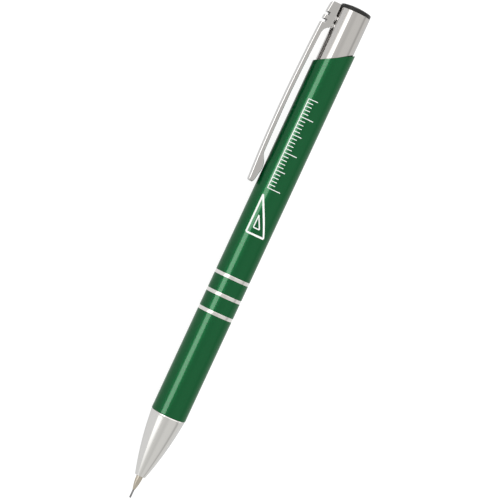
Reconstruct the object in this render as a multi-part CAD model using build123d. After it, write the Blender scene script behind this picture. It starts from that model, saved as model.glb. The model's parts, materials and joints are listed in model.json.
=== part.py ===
from build123d import *
import os
from math import asin, atan2, cos, degrees, hypot, sin

# Push-button lead holder: millimetres throughout.
# Every piece is drawn upright about Z with the lead's point at Z = 0 and the clip towards +X.
# At the end the pencil is laid on its side, writing end towards +X, resting on its barrel
# and on the edge of its clip. Heights below are distances from the lead's point.

# ---------------------------------------------------------------- driving dimensions
# barrel
BARREL_RADIUS = 4.75
BARREL_WALL = 0.35
BARREL_FRONT = 23.65
MOUTH_LOW = 122.1            # the oblique mouth on the clip's side
MOUTH_HIGH = 127.6           # and on the far side
RING_WIDTH = 1.0
RING_DEPTH = 0.18
RING_RECESS = 0.06           # how far a ring's edges lie below the barrel's surface
RING_CROWN = 0.045           # how far its middle stands above its edges
RING_PITCH = 5.065
RING_FRONT = 52.5            # centre of the ring nearest the point

# writing end
LEAD_RADIUS = 0.25
LEAD_LENGTH = 60.0
LEAD_CHAMFER = 0.06
LEAD_PLAY = 0.03             # radial, in the guide tip
TIP_FRONT = 2.39
TIP_END_RADIUS = 0.36
TIP_CONE_TOP = (0.72, 4.0)
TIP_SWELL = (0.86, 5.2)
TIP_SHANK_RADIUS = 0.92
TIP_SHANK_BOTTOM = 6.6
TIP_BODY_RADIUS = 1.58
TIP_BODY = (8.0, 11.0)
RETAINER_RADIUS = 1.1
RETAINER = (9.3, 10.9)
NOSE_FRONT = 6.27
NOSE_MOUTH_RADIUS = 1.475
NOSE_MID = (3.47, 14.8)      # radius and height of a point half way up the nose
NOSE_BACK_RADIUS = 4.675
NOSE_EDGE = 0.12
SPIGOT_RADIUS = 3.9
SPIGOT_BACK = 31.0
INSERT_FRONT = 24.2

# mechanism
RUNNING_GAP = 0.02           # radial, for pieces that turn or slide on each other
CHUCK_FRONT = 14.4
CHUCK_HEAD_RADIUS = 1.5
CHUCK_NECK_RADIUS = 1.2
CHUCK_BODY_RADIUS = 1.0
CHUCK_BACK = 31.0
CHUCK_CONE = (15.0, 16.6)
CHUCK_SLIT = 0.22
CHUCK_SLIT_BACK = 25.0
CHUCK_JAW_BACK = 19.0        # where the jaws' fine hole opens into the wider passage
CHUCK_JAWS = 3
CLUTCH_RING = (15.1, 16.7)
CLUTCH_RADIUS = 2.3
CLUTCH_ROOM = 1.2            # room in front of the clutch ring for its travel
CLUTCH_PLAY = 0.03           # radial, on the chuck's cone
SLEEVE = (16.8, 32.0)
SLEEVE_RADIUS = 3.05
SLEEVE_BORE = 2.4
SLEEVE_FLANGE = 1.0
FLANGE_PLAY = 0.08           # radial, between the sleeve's flange and the chuck
SPRING_WIRE_RADIUS = 0.18
SPRING_COIL_RADIUS = 1.75
SPRING_TURNS = 8
SPRING_END_GAP = 0.02
COUPLER = (28.0, 36.0)
COUPLER_RADIUS = 2.33
TUBE_RADIUS = 1.85
TUBE_BORE = 1.5
TUBE = (32.0, 116.8)
PASSAGE_RADIUS = 0.6         # lead passage through the chuck's body and the coupler
SPARE_LEADS = 3
SPARE_LEAD_BOTTOM = 34.4
SPARE_LEAD_OFFSET = 0.95

# cap end
SOCKET_FLANGE = (108.0, 109.5)
SOCKET_FLANGE_RADIUS = 3.6
SOCKET_RADIUS = 3.2
SOCKET_TOP = 121.0
SOCKET_LEAD_IN = 0.25
ERASER_RADIUS = 2.38
ERASER = (117.0, 124.2)
ERASER_EDGE = 0.4
LINER = (109.6, 117.6)
CAP_RADIUS = 4.225
CAP_WALL = 0.3
CAP = (105.5, 137.5)
CAP_RIM_EDGE = 0.1
BEAD_REACH = 0.2             # how far a rolled bead stands into the cap's bore
BEAD_GROOVE = 0.12           # how deep it looks from outside
BEAD_WIDTH = 0.5
BEAD_SLOPE = 0.15
BEAD_GAP = 0.1               # from the liner
PLUG_SHANK_BOTTOM = 129.5
PLUG_RADIUS = 4.15
PLUG_BAND_TOP = 138.15
PLUG_CORNER = 0.43           # rounding between the plug's band and its dome
PLUG_TOP = 139.0

# clip, radii measured from the pencil's axis
CLIP_WIDTH = 3.8
CLIP_SHEET = 0.35
CLIP_EDGE = 0.35             # rounding of the long folded edges
CLIP_TIP = 87.1
CLIP_TOP = 137.9
CLIP_END_ROUNDING = {CLIP_TIP: 0.5, CLIP_TOP: 0.4}
CLIP_SPINE = ((7.12, CLIP_TIP), (7.57, 97), (7.76, 110), (7.6, 121), (7.32, 130.5), (7.02, 135), (6.74, CLIP_TOP))
CLIP_CHEEK_ROOT = 4.3
CLIP_ROOT_BOTTOM = 131.5
CLIP_NOTCH_MID = (5.64, 130.4)
CLIP_ARM_INNER = ((6.1, 128.8), (6.48, 119), (6.62, 110), (6.42, 96.5))
CLIP_LOBE = ((6.26, 94.9), (5.42, 93.2), (5.08, 91.4), (5.38, 89.5), (5.72, 87.7))
CLIP_LOBE_END = (6.05, CLIP_TIP)
CLIP_SLOTS = ((131.95, 132.95), (134.0, 134.9))
CLIP_SLOT_FACE = 7.25         # radius of the spine's face between the slots
CLIP_SLOT_DEPTH = 1.22
CLIP_LEGS = ((131.85, 132.45), (133.9, 134.5))
CLIP_LEG_END = 3.0
LEG_ROOM = 0.2               # the windows' room below a leg, for the clip to flex
LEG_PLAY = 0.08

OVERRUN = 1.0                # how far cutting shapes run past what they cut


# ---------------------------------------------------------------- helpers
def tube(outer_radius, inner_radius, span):
    """Plain tube about Z between the two heights of span."""
    wall = Circle(outer_radius) - Circle(inner_radius)
    return Pos(0, 0, span[0]) * extrude(wall, span[1] - span[0])


def rod(radius, span):
    """Plain round bar about Z between the two heights of span."""
    return Pos(0, 0, span[0]) * extrude(Circle(radius), span[1] - span[0])


def side_face(*lines):
    """Face standing in the XZ plane inside lines drawn as (radius, height)."""
    return Plane.XZ * make_face([edge for line in lines for edge in line.edges()])


def turned(*lines):
    """Solid turned about Z from a closed outline of (radius, height) lines."""
    return revolve(side_face(*lines), Axis.Z)


def turned_steps(*points):
    """Solid turned about Z from a closed outline of (radius, height) corners."""
    return turned(Polyline(*points, close=True))


def block(x_span, y_span, z_span):
    """Box between pairs of coordinates."""
    size = [high - low for low, high in (x_span, y_span, z_span)]
    low_corner = (x_span[0], y_span[0], z_span[0])
    return Pos(*low_corner) * Box(*size, align=(Align.MIN, Align.MIN, Align.MIN))


# ---------------------------------------------------------------- barrel and its rings
barrel_bore = BARREL_RADIUS - BARREL_WALL
ring_centres = [RING_FRONT + RING_PITCH * index for index in range(3)]
ring_names = ("ring_front", "ring_middle", "ring_rear")
groove_radius = BARREL_RADIUS - RING_DEPTH


def ring_span(centre):
    return (centre - RING_WIDTH / 2, centre + RING_WIDTH / 2)


def make_barrel():
    shell = tube(BARREL_RADIUS, barrel_bore, (BARREL_FRONT, MOUTH_HIGH + OVERRUN))
    slant = atan2(MOUTH_HIGH - MOUTH_LOW, 2 * BARREL_RADIUS)
    mouth = Plane(origin=(0, 0, (MOUTH_LOW + MOUTH_HIGH) / 2), z_dir=(sin(slant), 0, cos(slant)))
    shell = split(shell, bisect_by=mouth, keep=Keep.BOTTOM)
    for centre in ring_centres:
        shell -= tube(BARREL_RADIUS + OVERRUN, groove_radius, ring_span(centre))
    return shell


def make_ring(centre):
    """Band with a slightly crowned face, its edges a little below the barrel's surface."""
    bottom, top = ring_span(centre)
    edge_radius = BARREL_RADIUS - RING_RECESS
    crown = ThreePointArc((edge_radius, bottom), (edge_radius + RING_CROWN, centre), (edge_radius, top))
    return turned(crown, Polyline(crown @ 1, (groove_radius, top), (groove_radius, bottom), crown @ 0))


# ---------------------------------------------------------------- writing end
def make_nose_cone():
    bore_front = TIP_SHANK_RADIUS + RUNNING_GAP
    bore_tip = TIP_BODY_RADIUS + RUNNING_GAP
    bore_back = SLEEVE_RADIUS + RUNNING_GAP
    shoulder = CLUTCH_RING[0] - CLUTCH_ROOM
    outside = ThreePointArc(
        (NOSE_MOUTH_RADIUS, NOSE_FRONT + NOSE_EDGE), NOSE_MID, (NOSE_BACK_RADIUS, BARREL_FRONT))
    inside = Polyline(
        outside @ 1,
        (SPIGOT_RADIUS, BARREL_FRONT),
        (SPIGOT_RADIUS, SPIGOT_BACK),
        (bore_back, SPIGOT_BACK),
        (bore_back, SLEEVE[0]),
        (SLEEVE_BORE, SLEEVE[0]),
        (SLEEVE_BORE, shoulder),
        (bore_tip, shoulder),
        (bore_tip, TIP_BODY[0]),
        (bore_front, TIP_BODY[0]),
        (bore_front, NOSE_FRONT),
        (NOSE_MOUTH_RADIUS - NOSE_EDGE, NOSE_FRONT))
    rounding = RadiusArc(inside @ 1, outside @ 0, -NOSE_EDGE)
    return turned(outside, inside, rounding)


def make_nose_thread_insert():
    return tube(barrel_bore - RUNNING_GAP, SPIGOT_RADIUS + RUNNING_GAP, (INSERT_FRONT, SPIGOT_BACK))


def make_lead_tip():
    hole = LEAD_RADIUS + LEAD_PLAY
    swell = ThreePointArc(TIP_CONE_TOP, TIP_SWELL, (TIP_SHANK_RADIUS, TIP_SHANK_BOTTOM))
    rest = Polyline(
        swell @ 1,
        (TIP_SHANK_RADIUS, TIP_BODY[0]),
        (TIP_BODY_RADIUS, TIP_BODY[0]),
        (TIP_BODY_RADIUS, TIP_BODY[1]),
        (RETAINER_RADIUS, TIP_BODY[1]),
        (RETAINER_RADIUS, RETAINER[0]),
        (hole, RETAINER[0]),
        (hole, TIP_FRONT),
        (TIP_END_RADIUS, TIP_FRONT),
        TIP_CONE_TOP)
    return turned(swell, rest)


def make_lead_retainer():
    return tube(RETAINER_RADIUS - RUNNING_GAP, LEAD_RADIUS + RUNNING_GAP / 2, RETAINER)


def make_lead():
    stick = rod(LEAD_RADIUS, (0, LEAD_LENGTH))
    return chamfer(stick.edges().sort_by(Axis.Z)[0], LEAD_CHAMFER)


# ---------------------------------------------------------------- mechanism
def make_chuck():
    jaw_hole = LEAD_RADIUS + RUNNING_GAP
    body = turned_steps(
        (jaw_hole, CHUCK_FRONT),
        (CHUCK_HEAD_RADIUS, CHUCK_FRONT),
        (CHUCK_HEAD_RADIUS, CHUCK_CONE[0]),
        (CHUCK_NECK_RADIUS, CHUCK_CONE[1]),
        (CHUCK_BODY_RADIUS, CHUCK_CONE[1]),
        (CHUCK_BODY_RADIUS, CHUCK_BACK),
        (PASSAGE_RADIUS, CHUCK_BACK),
        (PASSAGE_RADIUS, CHUCK_JAW_BACK),
        (jaw_hole, CHUCK_JAW_BACK))
    slit = block(
        (0, CHUCK_HEAD_RADIUS + OVERRUN),
        (-CHUCK_SLIT / 2, CHUCK_SLIT / 2),
        (CHUCK_FRONT - OVERRUN, CHUCK_SLIT_BACK))
    for jaw in range(CHUCK_JAWS):
        body -= Rot(0, 0, jaw * 360 / CHUCK_JAWS) * slit
    return body


def make_clutch_ring():
    slope = (CHUCK_HEAD_RADIUS - CHUCK_NECK_RADIUS) / (CHUCK_CONE[1] - CHUCK_CONE[0])
    inner_front = CHUCK_HEAD_RADIUS - slope * (CLUTCH_RING[0] - CHUCK_CONE[0]) + CLUTCH_PLAY
    inner_back = CHUCK_NECK_RADIUS + CLUTCH_PLAY
    return turned_steps(
        (inner_front, CLUTCH_RING[0]),
        (CLUTCH_RADIUS, CLUTCH_RING[0]),
        (CLUTCH_RADIUS, CLUTCH_RING[1]),
        (inner_back, CLUTCH_RING[1]),
        (inner_back, CHUCK_CONE[1]))


def make_mechanism_sleeve():
    flange = (SLEEVE[0], SLEEVE[0] + SLEEVE_FLANGE)
    return tube(SLEEVE_RADIUS, SLEEVE_BORE, SLEEVE) + tube(SLEEVE_RADIUS, CHUCK_BODY_RADIUS + FLANGE_PLAY, flange)


def make_return_spring():
    seat = SLEEVE[0] + SLEEVE_FLANGE + SPRING_END_GAP + SPRING_WIRE_RADIUS
    height = COUPLER[0] - SPRING_END_GAP - SPRING_WIRE_RADIUS - seat
    coil = Helix(pitch=height / SPRING_TURNS, height=height, radius=SPRING_COIL_RADIUS)
    wire = Plane(origin=coil @ 0, z_dir=coil % 0) * Circle(SPRING_WIRE_RADIUS)
    return Pos(0, 0, seat) * sweep(wire, path=coil, is_frenet=True)


def make_chuck_coupler():
    chuck_seat = CHUCK_BODY_RADIUS + RUNNING_GAP
    tube_seat = TUBE_RADIUS + RUNNING_GAP
    return turned_steps(
        (chuck_seat, COUPLER[0]),
        (COUPLER_RADIUS, COUPLER[0]),
        (COUPLER_RADIUS, COUPLER[1]),
        (tube_seat, COUPLER[1]),
        (tube_seat, TUBE[0]),
        (PASSAGE_RADIUS, TUBE[0]),
        (PASSAGE_RADIUS, CHUCK_BACK),
        (chuck_seat, CHUCK_BACK))


def make_lead_tube():
    return tube(TUBE_RADIUS, TUBE_BORE, TUBE)


def make_spare_leads():
    stick = Pos(SPARE_LEAD_OFFSET, 0, 0) * rod(LEAD_RADIUS, (SPARE_LEAD_BOTTOM, SPARE_LEAD_BOTTOM + LEAD_LENGTH))
    return Compound(children=[Rot(0, 0, index * 360 / SPARE_LEADS) * stick for index in range(SPARE_LEADS)])


# ---------------------------------------------------------------- cap end
def make_eraser_socket():
    tube_seat = TUBE_RADIUS + RUNNING_GAP
    cup = ERASER_RADIUS + RUNNING_GAP
    return turned_steps(
        (tube_seat, SOCKET_FLANGE[0]),
        (SOCKET_FLANGE_RADIUS, SOCKET_FLANGE[0]),
        (SOCKET_FLANGE_RADIUS, SOCKET_FLANGE[1]),
        (SOCKET_RADIUS, SOCKET_FLANGE[1]),
        (SOCKET_RADIUS, SOCKET_TOP - SOCKET_LEAD_IN),
        (SOCKET_RADIUS - SOCKET_LEAD_IN, SOCKET_TOP),
        (cup + SOCKET_LEAD_IN, SOCKET_TOP),
        (cup, SOCKET_TOP - SOCKET_LEAD_IN),
        (cup, ERASER[0]),
        (tube_seat, ERASER[0]))


def make_eraser():
    stub = rod(ERASER_RADIUS, ERASER)
    return fillet(stub.edges().sort_by(Axis.Z)[-1], ERASER_EDGE)


def make_cap_liner():
    return tube(CAP_RADIUS - CAP_WALL - RUNNING_GAP, SOCKET_RADIUS + RUNNING_GAP, LINER)


def leg_windows():
    """Room for the clip's legs in the cap tube and the plug."""
    windows = []
    for side in (-1, 1):
        cheek = sorted((side * (CLIP_WIDTH / 2 + LEG_PLAY), side * (CLIP_WIDTH / 2 - CLIP_SHEET - LEG_PLAY)))
        for bottom, top in CLIP_LEGS:
            depth = (CLIP_LEG_END - LEG_ROOM, CAP_RADIUS + OVERRUN)
            windows.append(block(depth, cheek, (bottom - LEG_ROOM, top + LEG_PLAY)))
    return windows


def make_cap_tube():
    bore = CAP_RADIUS - CAP_WALL
    shell = tube(CAP_RADIUS, bore, CAP)
    shell = fillet(shell.edges().sort_by(Axis.Z)[-2:], CAP_RIM_EDGE)
    root = 0.05                  # how far a bead's outline is drawn past the wall's face
    for bottom in (LINER[0] - BEAD_GAP - BEAD_WIDTH, LINER[1] + BEAD_GAP):
        top = bottom + BEAD_WIDTH
        shell += turned_steps(
            (bore + root, bottom),
            (bore - BEAD_REACH, bottom + BEAD_SLOPE),
            (bore - BEAD_REACH, top - BEAD_SLOPE),
            (bore + root, top))
        shell -= turned_steps(
            (CAP_RADIUS + root, bottom),
            (CAP_RADIUS - BEAD_GROOVE, bottom + BEAD_SLOPE),
            (CAP_RADIUS - BEAD_GROOVE, top - BEAD_SLOPE),
            (CAP_RADIUS + root, top))
    for window in leg_windows():
        shell -= window
    return shell


def make_cap_plug():
    shank = CAP_RADIUS - CAP_WALL - RUNNING_GAP
    dome_edge = PLUG_RADIUS - PLUG_CORNER
    dome_height = PLUG_TOP - PLUG_BAND_TOP - PLUG_CORNER
    dome_radius = (dome_edge ** 2 + dome_height ** 2) / (2 * dome_height)
    dome_span = degrees(asin(dome_edge / dome_radius))
    corner = CenterArc((dome_edge, PLUG_BAND_TOP), PLUG_CORNER, 0, 90)
    dome = CenterArc((0, PLUG_TOP - dome_radius), dome_radius, 90 - dome_span, dome_span)
    rest = Polyline(
        (0, PLUG_TOP),
        (0, PLUG_SHANK_BOTTOM),
        (shank, PLUG_SHANK_BOTTOM),
        (shank, CAP[1]),
        (PLUG_RADIUS, CAP[1]),
        (PLUG_RADIUS, PLUG_BAND_TOP))
    plug = turned(corner, dome, rest)
    for window in leg_windows():
        plug -= window
    return plug


# ---------------------------------------------------------------- clip
def clip_spine_line(inset=0.0):
    """Outer face of the clip seen from its side, or a line inset from it for the hollow."""
    low, high = CLIP_TIP + inset, CLIP_TOP - inset
    return Spline(*[(radius - inset, min(max(height, low), high)) for radius, height in CLIP_SPINE])


def make_clip():
    half_width = CLIP_WIDTH / 2
    spine = clip_spine_line()
    root = Polyline(
        spine @ 1,
        (CLIP_CHEEK_ROOT, CLIP_TOP),
        (CLIP_CHEEK_ROOT, CLIP_ROOT_BOTTOM))
    notch = ThreePointArc(root @ 1, CLIP_NOTCH_MID, CLIP_ARM_INNER[0])
    arm = Spline(*CLIP_ARM_INNER)
    shoulder = Line(arm @ 1, CLIP_LOBE[0])
    lobe = Spline(*CLIP_LOBE)
    tip = Polyline(lobe @ 1, CLIP_LOBE_END, spine @ 0)
    body = extrude(side_face(spine, root, notch, arm, shoulder, lobe, tip), half_width, both=True)

    cheek_top = max(radius for radius, height in CLIP_ARM_INNER)
    folded = [edge for edge in body.edges() if edge.center().X > cheek_top and edge.length > CLIP_TOP - CLIP_TIP]
    body = fillet(folded, CLIP_EDGE)
    for height, radius in CLIP_END_ROUNDING.items():
        rim = body.edges().filter_by_position(Axis.Z, height - 0.001, height + 0.001)
        body = fillet([edge for edge in rim if edge.center().X > CLIP_SLOT_FACE - CLIP_SLOT_DEPTH], radius)

    inner_spine = clip_spine_line(CLIP_SHEET)
    surround = Polyline(
        inner_spine @ 1,
        (CLIP_LEG_END, CLIP_TOP - CLIP_SHEET),
        (CLIP_LEG_END, CLIP_TIP + CLIP_SHEET),
        inner_spine @ 0)
    body -= extrude(side_face(inner_spine, surround), half_width - CLIP_SHEET, both=True)

    for bottom, top in CLIP_SLOTS:
        floor = CLIP_SLOT_FACE - CLIP_SLOT_DEPTH
        body -= block((floor, CLIP_SLOT_FACE + OVERRUN), (-CLIP_WIDTH, CLIP_WIDTH), (bottom, top))
    for side_sign in (-1, 1):
        cheek = sorted((side_sign * half_width, side_sign * (half_width - CLIP_SHEET)))
        for span in CLIP_LEGS:
            body += block((CLIP_LEG_END, CLIP_CHEEK_ROOT + 0.1), cheek, span)
    return body


# ---------------------------------------------------------------- laid on its side
clip_reach = clip_spine_line().bounding_box().max.X
edge_x = clip_reach - CLIP_EDGE
edge_y = CLIP_WIDTH / 2 - CLIP_EDGE
roll = asin((BARREL_RADIUS - CLIP_EDGE) / hypot(edge_x, edge_y)) - atan2(edge_y, edge_x)
clip_side = edge_x * cos(roll) + edge_y * sin(roll) + CLIP_EDGE
axis_y = (clip_side - BARREL_RADIUS) / 2
lying = Plane(
    origin=(PLUG_TOP / 2, axis_y, BARREL_RADIUS),
    x_dir=(0, -cos(roll), -sin(roll)),
    z_dir=(-1, 0, 0)).location

pieces = {
    "barrel": make_barrel(),
    "nose_cone": make_nose_cone(),
    "nose_thread_insert": make_nose_thread_insert(),
    "lead_tip": make_lead_tip(),
    "lead_retainer": make_lead_retainer(),
    "mechanism_sleeve": make_mechanism_sleeve(),
    "chuck": make_chuck(),
    "chuck_coupler": make_chuck_coupler(),
    "lead_tube": make_lead_tube(),
    "eraser_socket": make_eraser_socket(),
    "spare_leads": make_spare_leads(),
    "return_spring": make_return_spring(),
    "clutch_ring": make_clutch_ring(),
    "lead": make_lead(),
    "eraser": make_eraser(),
    "cap_liner": make_cap_liner(),
    "cap_tube": make_cap_tube(),
    "cap_plug": make_cap_plug(),
    "clip": make_clip(),
}
for name, centre in zip(ring_names, ring_centres):
    pieces[name] = make_ring(centre)

os.makedirs("parts", exist_ok=True)
for name, piece in pieces.items():
    export_step(lying * piece, f"parts/{name}.step")

print("roll of the pencil, degrees:", round(degrees(roll), 3))
print("axis at y, z:", round(axis_y, 4), BARREL_RADIUS)
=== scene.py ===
import bmesh
import bpy
import json
from math import asin, atan2, cos, degrees, hypot, pi, radians, sin, sqrt
from mathutils import Matrix, Vector


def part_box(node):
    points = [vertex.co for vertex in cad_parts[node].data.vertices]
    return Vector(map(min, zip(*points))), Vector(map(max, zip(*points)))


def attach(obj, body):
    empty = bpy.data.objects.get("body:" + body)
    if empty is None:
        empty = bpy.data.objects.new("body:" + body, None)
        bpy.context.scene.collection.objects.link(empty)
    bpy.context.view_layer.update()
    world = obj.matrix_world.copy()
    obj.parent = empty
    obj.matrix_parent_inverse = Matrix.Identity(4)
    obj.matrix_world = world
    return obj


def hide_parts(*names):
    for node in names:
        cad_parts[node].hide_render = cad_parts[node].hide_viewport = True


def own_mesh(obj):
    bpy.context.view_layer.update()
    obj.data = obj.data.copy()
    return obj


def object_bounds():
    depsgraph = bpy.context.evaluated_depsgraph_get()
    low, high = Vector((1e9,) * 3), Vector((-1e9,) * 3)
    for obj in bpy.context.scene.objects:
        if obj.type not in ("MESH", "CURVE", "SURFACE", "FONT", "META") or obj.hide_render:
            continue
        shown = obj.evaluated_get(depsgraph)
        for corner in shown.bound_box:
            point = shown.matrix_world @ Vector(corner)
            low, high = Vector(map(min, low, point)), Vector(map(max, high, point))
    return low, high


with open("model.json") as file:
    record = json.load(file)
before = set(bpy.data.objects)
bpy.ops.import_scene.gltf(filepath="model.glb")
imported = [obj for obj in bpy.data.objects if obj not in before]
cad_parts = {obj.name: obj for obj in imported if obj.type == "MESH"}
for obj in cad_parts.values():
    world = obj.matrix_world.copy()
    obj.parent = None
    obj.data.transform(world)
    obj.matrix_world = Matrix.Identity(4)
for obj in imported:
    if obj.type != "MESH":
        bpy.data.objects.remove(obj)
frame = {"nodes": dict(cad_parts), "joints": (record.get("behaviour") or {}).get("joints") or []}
cad_low, cad_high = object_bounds()

# The pieces are drawn in the pencil's own frame, in millimetres, and then put where the CAD has
# them: z is the distance from the lead's point along the axis, and the clip is towards +x.
MM = 0.001                    # metres


# ---------------------------------------------------------------- the pencil's own frame
def joint_axis(name):
    joint = next(joint for joint in frame["joints"] if joint["name"] == name)
    return Vector(joint["axis"]).normalized()


barrel_low, barrel_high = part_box("barrel")
point = Vector((
    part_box("lead")[1].x, (barrel_low.y + barrel_high.y) / 2, (barrel_low.z + barrel_high.z) / 2))
along = Vector((-1, 0, 0))
across = -joint_axis("clip_flex")
to_clip = across.cross(along)
PENCIL = Matrix.Translation(point) @ Matrix((to_clip, across, along)).transposed().to_4x4()
PENCIL_MM = PENCIL @ Matrix.Scale(MM, 4)


def height_span(node):
    """Lowest and highest distance from the lead's point of a CAD node, in millimetres."""
    low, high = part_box(node)
    return (point.x - high.x) / MM, (point.x - low.x) / MM


def node_radius(node):
    """Radius of a round CAD node, in millimetres."""
    low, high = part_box(node)
    return (high.z - low.z) / 2 / MM


# ---------------------------------------------------------------- sizes, in millimetres
BARREL_RADIUS = node_radius("barrel")
BARREL_BORE = 4.4
LACQUER_RADIUS = BARREL_RADIUS - 0.012    # leaves room for the print
SHELL_THICKNESS = 0.28        # the lacquered part of the barrel's wall
BARREL_FRONT, MOUTH_HIGH = height_span("barrel")
MOUTH_LOW = 122.1
MOUTH_MIDDLE = (MOUTH_LOW + MOUTH_HIGH) / 2
MOUTH_SLOPE = (MOUTH_HIGH - MOUTH_LOW) / (2 * BARREL_RADIUS)
STRAIGHT_TOP = MOUTH_LOW - 6.5            # below this the oblique mouth moves nothing
GROOVE_DEPTH = 0.18
GROOVE_EDGE = 0.05
RINGS = ("ring_front", "ring_middle", "ring_rear")
RING_EDGE = 0.03
RING_CROWN = 0.05             # how far a ring's middle stands above its edges

NOSE_FRONT = height_span("nose_cone")[0]
NOSE_MOUTH_RADIUS = 1.475
NOSE_MID = (3.47, 14.8)
NOSE_BACK_RADIUS = 4.675
NOSE_LIP = 0.45               # length of the lip at the joint with the barrel
SPIGOT_RADIUS, SPIGOT_BACK = 3.9, 31.0    # the nose's part inside the barrel
NOSE_BORE, NOSE_BORE_FRONT = 3.07, 16.8
TIP_SEAT_RADIUS = 1.6
TIP_SEAT_FRONT, TIP_SEAT_BACK = 8.0, 13.9

TIP_FRONT = height_span("lead_tip")[0]
TIP_SHANK_RADIUS = 0.92
TIP_COLLAR_RADIUS, TIP_COLLAR_BACK = 1.58, 11.0
TIP_POCKET_RADIUS, TIP_POCKET_FRONT = 1.1, 9.3    # where the rubber washer sits
LEAD_RADIUS = node_radius("lead")

SPRING_TURNS = 8
SPRING_TURN_STEPS = 40
SPRING_WIRE_RADIUS = 0.18

CAP_RADIUS = node_radius("cap_tube")
CAP_WALL = 0.3
CAP_SPAN = height_span("cap_tube")
CAP_EDGE = 0.09
LINER_SPAN = height_span("cap_liner")
# A bead pressed into the cap tube at each end of the liner: how far in and how far up its points
# are, outside and inside the wall.
BEAD_OUTSIDE = ((0, -0.02), (0.035, 0.07), (0.12, 0.19), (0.12, 0.31), (0.035, 0.43), (0, 0.52))
BEAD_INSIDE = ((0, 0), (0.2, 0.15), (0.2, 0.35), (0, 0.5))
PLUG_BOTTOM, PLUG_TOP = 129.5, height_span("cap_plug")[1]
PLUG_RADIUS = 4.15
PLUG_BAND_TOP = 138.15
PLUG_CORNER = 0.43
ERASER_EDGE = 0.5
SOCKET_RADIUS, SOCKET_BORE = 3.2, 1.87
SOCKET_FLANGE, SOCKET_FLOOR = 1.5, 9      # the flange's thickness and the cup's floor

CLIP_TIP, CLIP_TOP = height_span("clip")
CLIP_WIDTH = 3.8
CLIP_SHEET = 0.35             # thickness of the sheet it is folded from
CLIP_EDGE = 0.35              # rounding of the folds, outside and inside
CLIP_INNER_EDGE = 0.1
CLIP_CURL = 0.24              # rounding of the cheeks' free edges, on the arm and at the root
CLIP_ROOT_CURL = 0.12
CLIP_TIP_ROUND = 0.5          # rounding of the spine's two ends
CLIP_TOP_ROUND = 0.4
CLIP_TIP_CORNER = 0.9         # length over which the tip narrows
CLIP_TIP_NARROWING = 0.8      # how much of a quarter circle it narrows by
CLIP_BEVEL = 0.08
CLIP_CHEEK_ROOT = 4.3         # how near the axis the cheeks reach at the root
CLIP_ROOT_BOTTOM = 131.5
CLIP_SLOTS = ((131.95, 132.95), (134.0, 134.9))
CLIP_SLOT_FACE = 7.25         # the slots' depth is measured from here
CLIP_SLOT_DEPTH = 1.22
CLIP_LEGS = ((131.85, 132.45), (133.9, 134.5))
CLIP_LEG_END = 3.0
LEG_ROOM = 0.08               # play of the legs in the cap tube's windows
# (distance from the axis, height) of the spine, the arm's free edges, the grip lobe's free edges,
# and the middle of the notch below the root.
CLIP_SPINE = (
    (7.12, CLIP_TIP), (7.57, 97), (7.76, 110), (7.6, 121), (7.32, 130.5), (7.02, 135),
    (6.74, CLIP_TOP))
CLIP_ARM_INNER = ((6.42, 96.5), (6.62, 110), (6.48, 119), (6.1, 128.8))
CLIP_LOBE = (
    (6.05, CLIP_TIP), (5.72, 87.7), (5.38, 89.5), (5.08, 91.4), (5.42, 93.2), (6.26, 94.9),
    (6.42, 96.5))
CLIP_NOTCH_MID = (5.64, 130.4)


# ---------------------------------------------------------------- mesh helpers
def new_object(name, data):
    """Adds an object to the scene."""
    added = bpy.data.objects.new(name, data)
    bpy.context.scene.collection.objects.link(added)
    return added


def finish_shape(name, shape):
    """Turns a bmesh into a mesh."""
    mesh = bpy.data.meshes.new(name)
    shape.to_mesh(mesh)
    shape.free()
    return mesh


def finish_mesh(name, mesh, body, nodes, material):
    """Puts a mesh drawn in the pencil's frame where the CAD has it, hangs it on its body and hides
    the CAD nodes it stands for.
    """
    mesh.transform(PENCIL_MM)
    piece = new_object(name, mesh)
    mesh.materials.append(material)
    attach(piece, body)
    if nodes:
        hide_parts(*nodes)
    return piece


def smooth(piece, sharp_degrees=35):
    """Smooth shading with sharp creases, and flat stretches kept flat beside small roundings."""
    mesh = piece.data
    mesh.polygons.foreach_set("use_smooth", [True] * len(mesh.polygons))
    mesh.set_sharp_from_angle(angle=radians(sharp_degrees))
    weighted = piece.modifiers.new("flat faces", "WEIGHTED_NORMAL")
    weighted.weight = 100
    weighted.keep_sharp = True
    return piece


def arc_points(centre, radius, start, end, steps):
    """Points on an arc in the (radius, height) plane, angles in degrees from the radius axis."""
    angles = [radians(start + (end - start) * step / steps) for step in range(steps + 1)]
    return [(centre[0] + radius * cos(angle), centre[1] + radius * sin(angle)) for angle in angles]


def spread(first, last, count):
    """Points evenly along a straight line, both ends included."""
    steps = [step / count for step in range(count + 1)]
    return [tuple(a + (b - a) * step for a, b in zip(first, last)) for step in steps]


def arc_through(first, middle, last, steps):
    """Points on the circle through three points."""
    (ax, ay), (bx, by), (cx, cy) = first, middle, last
    twice_area = 2 * (ax * (by - cy) + bx * (cy - ay) + cx * (ay - by))
    a, b, c = (x * x + y * y for x, y in (first, middle, last))
    x = (a * (by - cy) + b * (cy - ay) + c * (ay - by)) / twice_area
    y = (a * (cx - bx) + b * (ax - cx) + c * (bx - ax)) / twice_area
    radius = hypot(ax - x, ay - y)
    start = degrees(atan2(ay - y, ax - x))
    end = degrees(atan2(cy - y, cx - x))
    return arc_points((x, y), radius, start, end, steps)


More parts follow.
